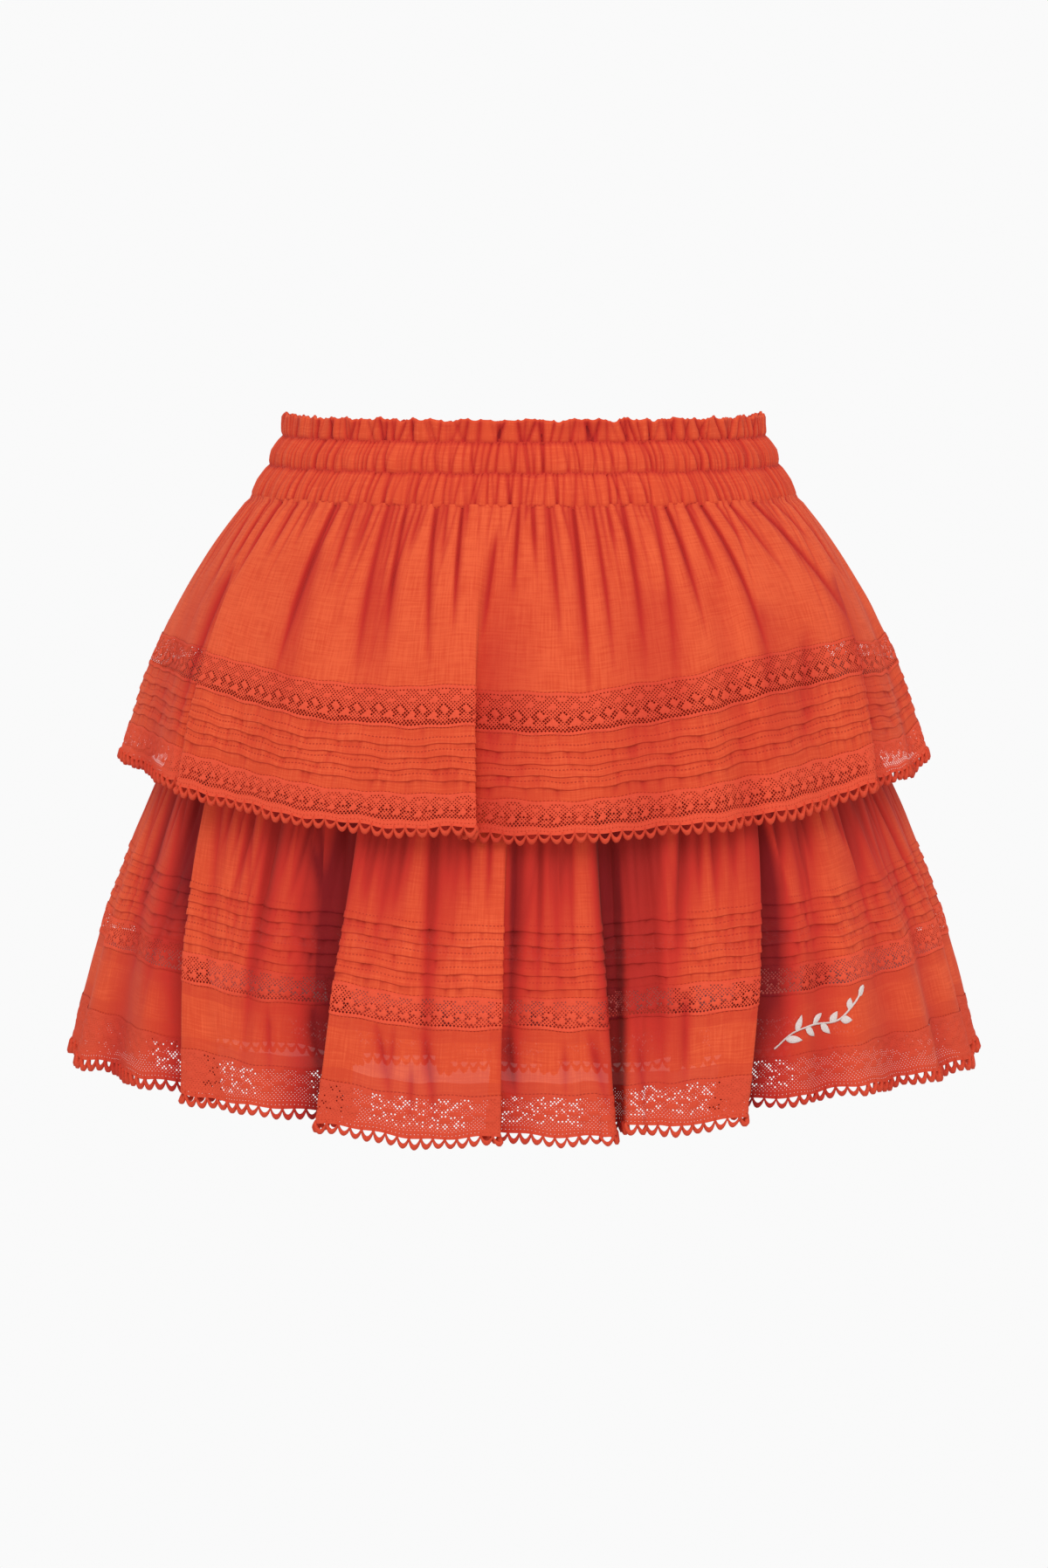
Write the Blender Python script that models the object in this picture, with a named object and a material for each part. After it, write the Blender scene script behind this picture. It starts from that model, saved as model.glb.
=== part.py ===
"""A short pull-on skirt in two gathered tiers, as the wearer fills it out.

Frame: metres, +Z up, the front faces -Y, and +X is on the right as the front is looked at.
The origin is the middle of the waist, level with the stitched line between the two elastic channels.

Tables are in millimetres and degrees. An angle goes round the waist: 0 is the front middle, 90 is +X.
"""

import math
from typing import NamedTuple

import bmesh
import bpy
from mathutils import Vector

MM = 0.001

# --- Driving dimensions, in millimetres -------------------------------------------------------------

CLOTH = 1.2  # the wall that stands for voile and lace
BAND = 3.0  # the waistband: casing, elastic and seam allowances
BACK_DROP = 9.0  # how much lower the waist lies at the middle of the back than at the front
HEM_DIP = 40.0  # how much lower the lower tier's hem lies at the middle of the back than at the front
GAP = 0.3  # between pieces that are sewn together
BAND_GATHERS = 66  # round the waistband
UPPER_GATHERS = 36  # at the upper tier's seam
LOWER_GATHERS = 40  # at the lower tier's seam
GATHER_DEPTH = 1.3  # of a tier's gathers where they are deepest
GATHER_FADE = 9.0  # how soon they fade down the tier: they are deepest one part in this many from the seam
TUCK_STAND = 0.9  # how far a pin tuck's lower edge stands out
TUCK_DROP = 0.4  # from that edge back to the cloth
FOLD_ROUND = 20.0  # how fast a fold turns: a larger value gives a rounder edge
SEAM_SHY = 0.25  # how near to a crest a valley may come at the seam, as a share of the way to the next
COLUMN_STEP = 17.0  # the usual step between a wall's columns, at the hem
COLUMN_EXTRA = 0.2  # added before the number of steps is rounded, so that more are rounded up
PLAIN_COLUMNS = 36  # round a piece with no folds
NORMAL_REACH = 1.0  # how far up and down the cloth a surface's direction is measured


class BandRow(NamedTuple):
    """A level of the waistband, and how deep its gathers are there."""

    z: float
    half_width: float
    half_depth: float
    gather: float


class Section(NamedTuple):
    """A level of a tier, so much cloth down from its seam."""

    down: float
    half_width: float
    half_depth: float
    side_z: float
    front_z: float


class Fold(NamedTuple):
    """One fold at the hem: its crest and the valley after it, each with its place out and up.

    A valley whose angle lies back past its own crest, or on past the next one, is tucked under it.
    hitch is how far the cloth is drawn up halfway down the tier, over the crest.
    """

    crest: float
    crest_out: float
    crest_lift: float
    valley: float
    valley_out: float
    valley_lift: float
    hitch: float


BAND_ROWS = (  # from the frill's edge down
    BandRow(27.5, 128.8, 96.5, 2.0),
    BandRow(21.0, 127.4, 95.4, 1.5),
    BandRow(15.5, 128.0, 96.0, 0.4),
    BandRow(8.0, 133.2, 99.6, 1.1),
    BandRow(0.0, 135.0, 101.2, 0.4),
    BandRow(-8.5, 140.8, 105.2, 1.1),
    BandRow(-16.7, 144.4, 107.4, 0.4),
)

BAND_INSIDE = (6, 4, 2, 1, 0)  # the rows of BAND_ROWS that shape its inner face, from the bottom up

YOKE = (
    Section(0, 142.7, 105.7, -17.0, -17.0),
    Section(42, 150.5, 112.5, -56.0, -59.0),
    Section(84, 159.5, 121.0, -91.0, -98.0),
    Section(122, 170.0, 130.0, -121.7, -134.7),
)

UPPER = (
    Section(0, 144.2, 107.2, -17.0, -17.0),
    Section(22, 158.8, 118.5, -34.0, -37.5),
    Section(48, 173.4, 129.0, -55.0, -61.5),
    Section(73, 184.6, 137.5, -74.0, -86.0),
    Section(96, 192.8, 144.0, -90.0, -107.5),
    Section(116, 200.0, 150.0, -105.5, -126.6),
    Section(151, 211.0, 158.0, -137.5, -160.0),
    Section(172, 216.8, 163.0, -157.0, -180.0),
)

LOWER = (
    Section(0, 170.0, 130.0, -122.0, -135.0),
    Section(16, 181.0, 138.5, -134.5, -148.5),
    Section(40, 191.5, 146.0, -157.0, -170.0),
    Section(68, 202.5, 154.0, -181.0, -197.0),
    Section(95, 212.5, 162.0, -205.0, -222.4),
    Section(127, 224.2, 172.3, -236.0, -254.0),
    Section(140, 228.2, 175.5, -249.0, -266.5),
    Section(175, 238.5, 183.5, -286.0, -301.0),
    Section(199, 246.3, 188.0, -317.0, -325.0),
)

# Cloth down from each tier's seam to its own seams and tucks.
UPPER_LACE_TOP = 96.0
UPPER_LACE_END = 116.0
UPPER_TUCKS = (125.4, 132.0, 138.0, 144.0)
UPPER_EDGING_TOP = 151.0
UPPER_HEM = 172.0
LOWER_TUCKS = (95.0, 101.8, 108.6, 115.4, 122.0)
LOWER_LACE_TOP = 127.0
LOWER_LACE_END = 141.5
LOWER_EDGING_TOP = 175.0
LOWER_HEM = 199.0

# Rows of points down the gathered cloth, above its tucks.
UPPER_ROWS = (0, 9, 22, 42, 68)
LOWER_ROWS = (0, 12, 30, 58, 88)

UPPER_FOLDS = (
    Fold(-90.0, 0.0, 0.0, -72.0, -9.0, 0.0, 0.0),
    Fold(-60.0, -5.0, 0.0, -54.4, -10.0, 0.0, 2.0),
    Fold(-55.2, 0.0, 0.0, -44.0, -4.0, 0.0, 2.0),
    Fold(-33.0, -1.0, 0.0, -20.0, -4.0, 0.0, -1.0),
    Fold(-6.8, 0.0, 3.5, -8.4, -11.0, -0.5, 2.0),
    Fold(8.0, -4.0, -0.5, 18.0, -8.0, -0.5, 0.0),
    Fold(27.0, -2.0, -1.0, 33.0, -8.0, -2.0, 5.0),
    Fold(38.0, -3.0, -3.0, 47.0, -6.0, -2.0, 11.0),
    Fold(56.3, 0.0, 0.0, 55.4, -10.0, 0.0, 8.0),
    Fold(72.0, -5.0, -2.0, 81.0, -8.0, -6.0, 1.0),
)

LOWER_FOLDS = (
    Fold(-90.0, 0.0, 0.0, -83.0, -6.0, 0.5, 0.0),
    Fold(-75.0, -1.0, 1.5, -66.0, -12.0, 3.0, -2.0),
    Fold(-56.0, -6.0, 4.0, -43.2, -24.0, 4.0, -3.0),
    Fold(-44.7, 0.0, 4.0, -39.5, -4.0, 3.5, -3.0),
    Fold(-35.0, -3.0, 3.0, -22.8, -28.0, 1.0, -3.0),
    Fold(-24.8, 0.0, 0.0, -12.5, -2.0, -4.5, 0.0),
    Fold(-3.2, 0.0, -2.0, -4.4, -19.0, -2.0, -1.0),
    Fold(5.5, -4.0, -2.5, 8.0, -6.0, -2.5, -2.0),
    Fold(10.2, -3.0, -3.0, 11.5, -23.0, -1.0, -2.0),
    Fold(12.9, -2.0, 1.5, 15.3, -5.0, 1.0, 0.0),
    Fold(18.2, -2.0, 0.0, 22.0, -4.0, 1.0, 0.0),
    Fold(26.4, 0.0, 2.0, 25.0, -28.0, 5.0, -2.0),
    Fold(36.0, -9.0, 7.0, 40.0, -12.0, 7.0, -5.0),
    Fold(46.0, -4.0, 7.0, 54.0, -10.0, 5.0, -6.0),
    Fold(62.0, -3.0, 3.0, 68.0, -10.0, 1.0, -4.0),
    Fold(76.0, -1.0, 0.0, 83.0, -9.0, 0.0, -1.0),
)

CORAL = (0.72, 0.085, 0.030, 1.0)
LACE_CORAL = (0.66, 0.072, 0.026, 1.0)


# --- Shape ------------------------------------------------------------------------------------------


def read(rows, place):
    """A table's row at any place along its first column, on a smooth curve through its rows."""
    last = len(rows) - 2
    i = max(k for k in range(last + 1) if k == 0 or rows[k][0] <= place)
    low, high = rows[i], rows[i + 1]
    step = high[0] - low[0]
    t = (place - low[0]) / step
    before, after = rows[max(i - 1, 0)], rows[min(i + 2, last + 1)]
    values = []
    for c in range(len(low)):
        start = (high[c] - before[c]) / (high[0] - before[0])
        end = (after[c] - low[c]) / (after[0] - low[0])
        values.append(hermite(t, low[c], high[c], start * step, end * step))
    return type(low)(*values)


def hermite(t, a, b, slope_a, slope_b):
    """A cubic from a to b as t goes from 0 to 1, with those slopes at its ends."""
    u = 1 - t
    return (1 + 2 * t) * u * u * a + t * u * u * slope_a + t * t * (3 - 2 * t) * b - t * t * u * slope_b


class Column(NamedTuple):
    """A line of cloth from seam to hem: its angle at each, its place at the hem, and its hitch."""

    seam: float
    hem: float
    out: float
    lift: float
    hitch: float


def all_round(front):
    """The front's folds, then the same folds again round the back."""
    return list(front) + [f._replace(crest=f.crest + 180, valley=f.valley + 180) for f in front]


def knots(front):
    """Each crest and valley in turn. At the seam no valley is tucked, so its angle is kept between crests."""
    folds = all_round(front)
    found = []
    for f, after in zip(folds, folds[1:] + [folds[0]]):
        end = after.crest if after.crest > f.crest else after.crest + 360
        shy = SEAM_SHY * (end - f.crest)
        found.append(Column(f.crest, f.crest, f.crest_out, f.crest_lift, f.hitch))
        valley = min(max(f.valley, f.crest + shy), end - shy)
        found.append(Column(valley, f.valley, f.valley_out, f.valley_lift, (f.hitch + after.hitch) / 2))
    return found


def columns(front, radius):
    """Columns round the whole tier, through every crest and valley, closer where the cloth turns fast."""
    found = []
    line = knots(front)
    turn = math.degrees(FOLD_ROUND / radius)
    for a, b in zip(line, line[1:] + [line[0]]):
        full = 360 if b.seam < a.seam else 0
        run = max(b.hem + full - a.hem, turn)
        across = math.radians(abs(b.hem + full - a.hem)) * radius
        steps = max(1, round(math.hypot(across, b.out - a.out) / COLUMN_STEP + COLUMN_EXTRA))
        for k in range(steps):
            t = k / steps
            found.append(
                Column(
                    a.seam + (b.seam + full - a.seam) * t,
                    hermite(t, a.hem, b.hem + full, run, run),
                    hermite(t, a.out, b.out, 0, 0),
                    hermite(t, a.lift, b.lift, 0, 0),
                    hermite(t, a.hitch, b.hitch, 0, 0),
                )
            )
    return found


class Tier:
    """A tier's surface: a point for each column and each distance down the cloth."""

    def __init__(self, sections, folds, gathers, drop, dip):
        self.sections = sections
        self.drop = drop
        self.dip = dip
        self.length = sections[-1].down
        self.gathers = gathers
        self.columns = columns(folds, sections[-1].half_depth) if folds else plain_columns()

    def point(self, column, down, gathered):
        row = read(self.sections, down)
        grown = down / self.length
        angle = math.radians(column.seam + (column.hem - column.seam) * grown)
        out = column.out * grown
        if gathered and self.gathers:
            fade = GATHER_FADE * grown * math.exp(1 - GATHER_FADE * grown)
            out += GATHER_DEPTH * fade * math.sin(math.radians(column.seam) * self.gathers)
        side, front = math.sin(angle), -math.cos(angle)
        facing = Vector((side * row.half_depth, front * row.half_width, 0)).normalized()
        z = row.side_z * side**2 + row.front_z * front**2
        z += column.lift * grown + column.hitch * 4 * grown * (1 - grown)
        z -= (self.drop * (1 - grown) + self.dip * grown) * max(front, 0)
        return Vector((row.half_width * side, row.half_depth * front, z)) + facing * out

    def normal(self, index, down):
        """Outwards from the surface, worked out from the columns on either side."""
        around = self.columns
        before, here, after = around[index - 1], around[index], around[(index + 1) % len(around)]
        middle = self.point(here, down, False)
        coming = (middle - self.point(before, down, False)).normalized()
        going = (self.point(after, down, False) - middle).normalized()
        low, high = max(down - NORMAL_REACH, 0), min(down + NORMAL_REACH, self.length)
        along = self.point(here, low, False) - self.point(here, high, False)
        return (coming + going).cross(along).normalized()


def plain_columns():
    """Evenly spaced columns with no folds."""
    angles = [-90 + k * 360 / PLAIN_COLUMNS for k in range(PLAIN_COLUMNS)]
    return [Column(angle, angle, 0, 0, 0) for angle in angles]


def half(tier, front):
    """The columns of the front or the back, from side seam to side seam."""
    turned = [(c.seam + 90) % 360 for c in tier.columns]
    middle = min(range(len(turned)), key=lambda i: abs(turned[i] - 180))
    count = len(tier.columns)
    return list(range(middle + 1)) if front else [i % count for i in range(middle, count + 1)]


def tier_wall(name, tier, outer, inner, material, side=None):
    """A wall of a tier. outer has pairs of a distance down and how far it is raised, from the top down;
    inner has distances from the bottom up.

    side is None for a piece that goes all round, else "front" or "back", parted from the other at its seams.
    """
    whole = side is None
    picked = range(len(tier.columns)) if whole else half(tier, side == "front")
    profiles = []
    for place, i in enumerate(picked):
        column = tier.columns[i]
        profile = [tier.point(column, d, True) + tier.normal(i, d) * stand for d, stand in outer]
        profile += [tier.point(column, d, True) - tier.normal(i, d) * CLOTH for d in inner]
        if not whole and place in (0, len(picked) - 1):
            nearer = tier.columns[picked[1] if place == 0 else picked[-2]]
            into = tier.point(nearer, outer[0][0], False) - tier.point(column, outer[0][0], False)
            shift = into.normalized() * GAP / 2
            profile = [p + shift for p in profile]
        profiles.append(profile)
    cap = None if whole else edge_triangles([d for d, _ in outer], inner)
    return solid(name, profiles, cap, material)


def edge_triangles(outer, inner):
    """A cut edge in triangles: corners of its outline, taken across from the outer to the inner side."""
    corners = []
    i, j = 0, len(inner) - 1
    while i < len(outer) - 1 or j > 0:
        here = (i, len(outer) + j)
        if j == 0 or (i < len(outer) - 1 and outer[i + 1] <= inner[j - 1]):
            i += 1
            corners.append((*here, i))
        else:
            j -= 1
            corners.append((*here, len(outer) + j))
    return corners


def solid(name, profiles, cap, material):
    """A closed body from outlines of the wall's cut edge, one to a column, joined each to the next.

    cap has the triangles that close its first and last outline, or None if it goes all round.
    """
    bm = bmesh.new()
    rings = [[bm.verts.new(p * MM) for p in profile] for profile in profiles]
    size = len(rings[0])
    pairs = list(zip(rings, rings[1:])) if cap else list(zip(rings, rings[1:] + rings[:1]))
    for a, b in pairs:
        for k in range(size):
            n = (k + 1) % size
            bm.faces.new((a[k], a[n], b[n], b[k]))
    for corners in cap or []:
        bm.faces.new([rings[0][k] for k in corners])
        bm.faces.new([rings[-1][k] for k in corners])
    bmesh.ops.recalc_face_normals(bm, faces=bm.faces)
    mesh = bpy.data.meshes.new(name)
    bm.to_mesh(mesh)
    bm.free()
    mesh.shade_smooth()
    mesh.materials.append(material)
    made = bpy.data.objects.new(name, mesh)
    bpy.context.collection.objects.link(made)
    return made


def cloth(name, color, roughness):
    material = bpy.data.materials.new(name)
    material.use_nodes = True
    shader = material.node_tree.nodes["Principled BSDF"]
    shader.inputs["Base Color"].default_value = color
    shader.inputs["Roughness"].default_value = roughness
    material.diffuse_color = color
    return material


# --- Pieces -----------------------------------------------------------------------------------------


def waistband(material):
    """The frilled header and the two elastic channels, gathered outside and plain inside."""
    profiles = []
    count = 2 * BAND_GATHERS
    for k in range(count):
        angle = 2 * math.pi * k / count
        wave = 1 if k % 2 else 0
        profile = [band_point(row, angle, -row.gather * wave) for row in BAND_ROWS]
        profile += [band_point(BAND_ROWS[i], angle, -BAND) for i in BAND_INSIDE]
        profiles.append(profile)
    return solid("waistband", profiles, None, material)


def band_point(row, angle, out):
    side, front = math.sin(angle), -math.cos(angle)
    facing = Vector((side * row.half_depth, front * row.half_width, 0)).normalized()
    z = row.z - BACK_DROP * max(front, 0)
    return Vector((row.half_width * side, row.half_depth * front, z)) + facing * out


def tucked(tucks):
    """A tuck's standing edge and the cloth just under it, for each tuck."""
    rows = []
    for down in tucks:
        rows += [(down, TUCK_STAND), (down + TUCK_DROP, 0.0)]
    return rows


def strip(rows, tucks=()):
    """The outer and inner rows of a wall, with a seam gap at its lower edge, and its tucks outside only."""
    rows = [*rows[:-1], rows[-1] - GAP]
    outer = sorted([(down, 0.0) for down in rows] + tucked(tucks))
    return outer, sorted([*rows, *tucks[::2]], reverse=True)


def yoke(tier, material):
    outer, inner = strip([row.down for row in tier.sections])
    for side in ("front", "back"):
        tier_wall(f"yoke_{side}", tier, outer, inner, material, side)


def upper_tier(tier, voile, lace):
    top = strip((*UPPER_ROWS, UPPER_LACE_TOP))
    band = strip((UPPER_LACE_END, UPPER_EDGING_TOP), UPPER_TUCKS)
    for side in ("front", "back"):
        tier_wall(f"upper_tier_{side}", tier, *top, voile, side)
        tier_wall(f"upper_tuck_band_{side}", tier, *band, voile, side)
    tier_wall("upper_insertion_lace", tier, *strip((UPPER_LACE_TOP, UPPER_LACE_END)), lace)
    tier_wall("upper_edging_lace", tier, *strip((UPPER_EDGING_TOP, UPPER_HEM + GAP)), lace)


def lower_tier(tier, voile, lace):
    top = strip((*LOWER_ROWS, LOWER_LACE_TOP), LOWER_TUCKS)
    band = strip((LOWER_LACE_END, LOWER_EDGING_TOP))
    for side in ("front", "back"):
        tier_wall(f"lower_tier_{side}", tier, *top, voile, side)
        tier_wall(f"lower_band_{side}", tier, *band, voile, side)
    tier_wall("lower_insertion_lace", tier, *strip((LOWER_LACE_TOP, LOWER_LACE_END)), lace)
    tier_wall("lower_edging_lace", tier, *strip((LOWER_EDGING_TOP, LOWER_HEM + GAP)), lace)


def main():
    for old in list(bpy.data.objects):
        bpy.data.objects.remove(old, do_unlink=True)
    voile = cloth("coral_voile", CORAL, 0.85)
    lace = cloth("coral_lace", LACE_CORAL, 0.9)
    waistband(voile)
    yoke(Tier(YOKE, None, 0, BACK_DROP, 0), voile)
    upper_tier(Tier(UPPER, UPPER_FOLDS, UPPER_GATHERS, BACK_DROP, 0), voile, lace)
    lower_tier(Tier(LOWER, LOWER_FOLDS, LOWER_GATHERS, 0, HEM_DIP), voile, lace)


main()
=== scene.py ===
# %% [markdown]
# # A tiered ruffle skirt
#
# The skirt is pulled on over its own elastic waist. A frilled waistband holds two ruffle tiers of thin
# cotton voile, each finished with lace, pin tucks and a looped picot edge. It hangs filled out, as it is
# worn, with nobody inside.
#
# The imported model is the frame: plain, closed solids at their real size. Every piece below is made as a
# maker would make it, cut flat, and is then hung on the form of its solid.

import math
from typing import NamedTuple

import bmesh
import bpy
import numpy as np
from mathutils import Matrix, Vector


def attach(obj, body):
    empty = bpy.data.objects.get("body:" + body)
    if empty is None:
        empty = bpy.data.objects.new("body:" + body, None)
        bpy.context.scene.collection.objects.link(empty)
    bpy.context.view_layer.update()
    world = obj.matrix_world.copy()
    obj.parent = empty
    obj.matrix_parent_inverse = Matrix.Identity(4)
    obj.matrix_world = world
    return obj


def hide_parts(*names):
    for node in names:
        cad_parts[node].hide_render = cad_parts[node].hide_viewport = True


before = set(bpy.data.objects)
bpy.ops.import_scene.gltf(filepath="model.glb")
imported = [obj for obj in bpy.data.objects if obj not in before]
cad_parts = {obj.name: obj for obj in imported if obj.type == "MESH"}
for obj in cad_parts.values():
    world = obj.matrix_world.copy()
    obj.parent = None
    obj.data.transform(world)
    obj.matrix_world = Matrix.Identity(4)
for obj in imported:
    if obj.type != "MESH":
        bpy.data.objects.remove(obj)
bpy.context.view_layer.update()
MM = 0.001

# %% [markdown]
# ## The form of the cloth
#
# A tier is a sleeve of cloth on an oval. A table of sections says how wide and deep the oval is at each
# distance down the cloth, and how high its sides and its front lie. A table of folds says where the hem
# swings out and in. Both are in millimetres and degrees, as in the solids' own pattern. A third table has
# the creases: troughs that start at a gathered seam, or hang free.

# %% The tables' columns


class Section(NamedTuple):
    """A level of a tier, so much cloth down from its top."""

    down: float
    half_width: float
    half_depth: float
    side_z: float
    front_z: float


class Fold(NamedTuple):
    """One fold at the hem: its crest and the valley after it, each with its place out and up.

    slip is how far round it has moved at the seam, so that a fold can hang straight in view.
    """

    crest: float
    crest_out: float
    crest_lift: float
    valley: float
    valley_out: float
    valley_lift: float
    hitch: float
    slip: float = 0.0


class Crease(NamedTuple):
    """A trough down the cloth, from one angle round the seam to another.

    lean says which bank is steep: at 1 the left bank drops and the right one comes back slowly.
    """

    top: float
    end: float
    start: float
    stop: float
    depth: float
    width: float
    lean: float = 0.0


def table(kind, *rows):
    """Rows of numbers under the names of their columns."""
    return tuple(kind(*row) for row in rows)


# %% The waistband, the yoke and the tiers, in millimetres
BAND = table(
    Section,
    (0, 126.6, 96, 27.5, 27.5),
    (6.5, 127.4, 95.4, 21, 21),
    (12, 128, 96, 15.5, 15.5),
    (19.5, 133.2, 99.6, 8, 8),
    (27.5, 135, 101.2, 0, 0),
    (36, 140.8, 105.2, -8.5, -8.5),
    (44.2, 144.4, 107.4, -17, -17),
)
YOKE = table(
    Section,
    (0, 142.7, 105.7, -17, -17),
    (42, 150.5, 112.5, -56, -59),
    (84, 159.5, 121, -91, -98),
    (122, 170, 130, -121.7, -134.7),
)
UPPER = table(
    Section,
    (0, 144.2, 107.2, -17, -17),
    (22, 158.8, 118.5, -34, -37.5),
    (48, 173.4, 129, -55, -61.5),
    (73, 184.6, 137.5, -74, -86),
    (96, 192.8, 144, -90, -107.5),
    (116, 200, 150, -105.5, -126.6),
    (151, 211, 158, -137.5, -160),
    (172, 216.8, 163, -157, -180),
)
LOWER = table(
    Section,
    (0, 170, 130, -122, -135),
    (16, 181, 138.5, -134.5, -148.5),
    (40, 191.5, 146, -157, -170),
    (68, 202.5, 154, -181, -197),
    (95, 212.5, 162, -205, -222.4),
    (127, 224.2, 172.3, -236, -254),
    (140, 228.2, 175.5, -249, -266.5),
    (175, 238.5, 183.5, -286, -301),
    (199, 246.3, 188, -317, -325),
)

# %% The folds at each hem, from the left side seam across the front; the back repeats them
UPPER_FOLDS = table(
    Fold,
    (-90, 0, 0, -72, -9, 0, 0),
    (-60, -5, 0, -54.4, -10, 0, 2, -6),
    (-55.2, 0, 0, -44, -4, 0, 2, -6),
    (-33, -1, 0, -20, -4, 0, -1),
    (-6.8, 0, 3.5, -8.4, -11, -0.5, 2, -2.5),
    (8, -4, -0.5, 18, -8, -0.5, 0),
    (27, -2, -1, 33, -8, -2, 5),
    (38, -3, -3, 47, -6, -2, 11),
    (56.3, 0, 0, 55.4, -10, 0, 8, 14),
    (72, -5, -2, 81, -8, -6, 1, 6),
)
LOWER_FOLDS = table(
    Fold,
    (-90, 0, 0, -83, -6, 0.5, 0),
    (-75, -1, 1.5, -66, -12, 3, -2, -6),
    (-56, -6, 4, -43.2, -24, 4, -3, -14),
    (-44.7, 0, 4, -39.5, -4, 3.5, -3, -17),
    (-35, -3, 3, -22.8, -28, 1, -3, -5),
    (-24.8, 0, 0, -12.5, -2, -4.5, 0),
    (-3.2, 0, -2, -4.4, -12, -2, -1),
    (5.5, -3, -2.5, 8, -5, -2.5, -2),
    (10.2, -3, -3, 11.5, -23, -1, -2),
    (12.9, -2, 1.5, 15.3, -5, 1, 0, 4.5),
    (18.2, -2, 0, 22, -4, 1, 0, 5),
    (26.4, 0, 2, 25, -28, 5, -2, 15),
    (36, -9, 7, 40, -12, 7, -5, 10),
    (46, -4, 7, 54, -10, 5, -6, 5),
    (62, -3, 3, 68, -10, 1, -4),
    (76, -1, 0, 83, -9, 0, -1),
)

# %% The creases of each tier, placed across the front; the back repeats them
UPPER_CREASES = table(
    Crease,
    (-81, -80, 0, 75, 1.7, 1.3, -0.4), (-73, -68, 2, 66, 2.5, 1.3, -0.5),
    (-66, -64, 0, 57, 1.8, 1.1, 0.3), (-60, -59, 0, 59, 2.5, 1.1, -0.5),
    (-54, -53, 0, 40, 1.8, 1, 0.2), (-48, -47, 0, 29, 1.4, 0.8),
    (-42, -41, 0, 110, 3, 1.4, 0.7), (-36.5, -35, 0, 52, 1.8, 1.2, 0.3),
    (-32, -32, 0, 34, 1.4, 0.9), (-28.5, -26, 0, 110, 2.1, 1.7, 0.5),
    (-24.5, -22, 0, 86, 2.5, 1, 0.6), (-21, -21.5, 0, 29, 1.7, 0.8),
    (-18, -14, 0, 103, 2.2, 1, 0.4), (-15.5, -14.5, 0, 36, 1.5, 0.8),
    (-12.5, -11, 0, 77, 3, 0.8, 0.5), (-5, -7, 8, 80, 1.8, 1.1, -0.3),
    (-1, -2, 0, 57, 2.3, 0.9, -0.2), (2, 2, 0, 31, 1.4, 0.8),
    (5, 6, 0, 82, 2.1, 1.2, -0.4), (10, 10, 0, 110, 3, 1.2, -0.6),
    (14, 14, 0, 98, 2, 1, -0.3), (17, 17, 0, 29, 1.4, 0.8),
    (20, 19, 0, 100, 1.6, 1.3), (26.5, 23, 0, 110, 1.7, 1.3, 0.2),
    (30, 30, 0, 86, 2.5, 1.1, -0.5), (35, 35, 0, 63, 2.1, 1, -0.3),
    (39, 41, 0, 110, 3, 1.3, -0.7), (43, 44, 0, 34, 1.6, 0.8),
    (47, 51, 0, 57, 2.1, 1.2, -0.2), (55, 66, 0, 103, 2.5, 1.7, -0.4),
    (63, 66, 0, 40, 1.6, 1.0), (71, 77, 0, 66, 2.1, 1.3, 0.3),
    (82, 83, 0, 52, 1.7, 1.2), (-63, -61, 40, 172, 2.2, 3, -0.5),
    (-40, -37, 20, 150, 0.7, 7, -0.6), (-23.5, -22, 30, 130, 0.6, 6, -0.5),
    (24.5, 22.5, 40, 172, 0.7, 8, -0.4), (42, 36, 60, 172, 0.9, 6, 0.3),
    (51, 40, 80, 172, 0.8, 5, 0.3), (66, 61, 50, 172, 1.6, 5, -0.6),
)
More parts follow.
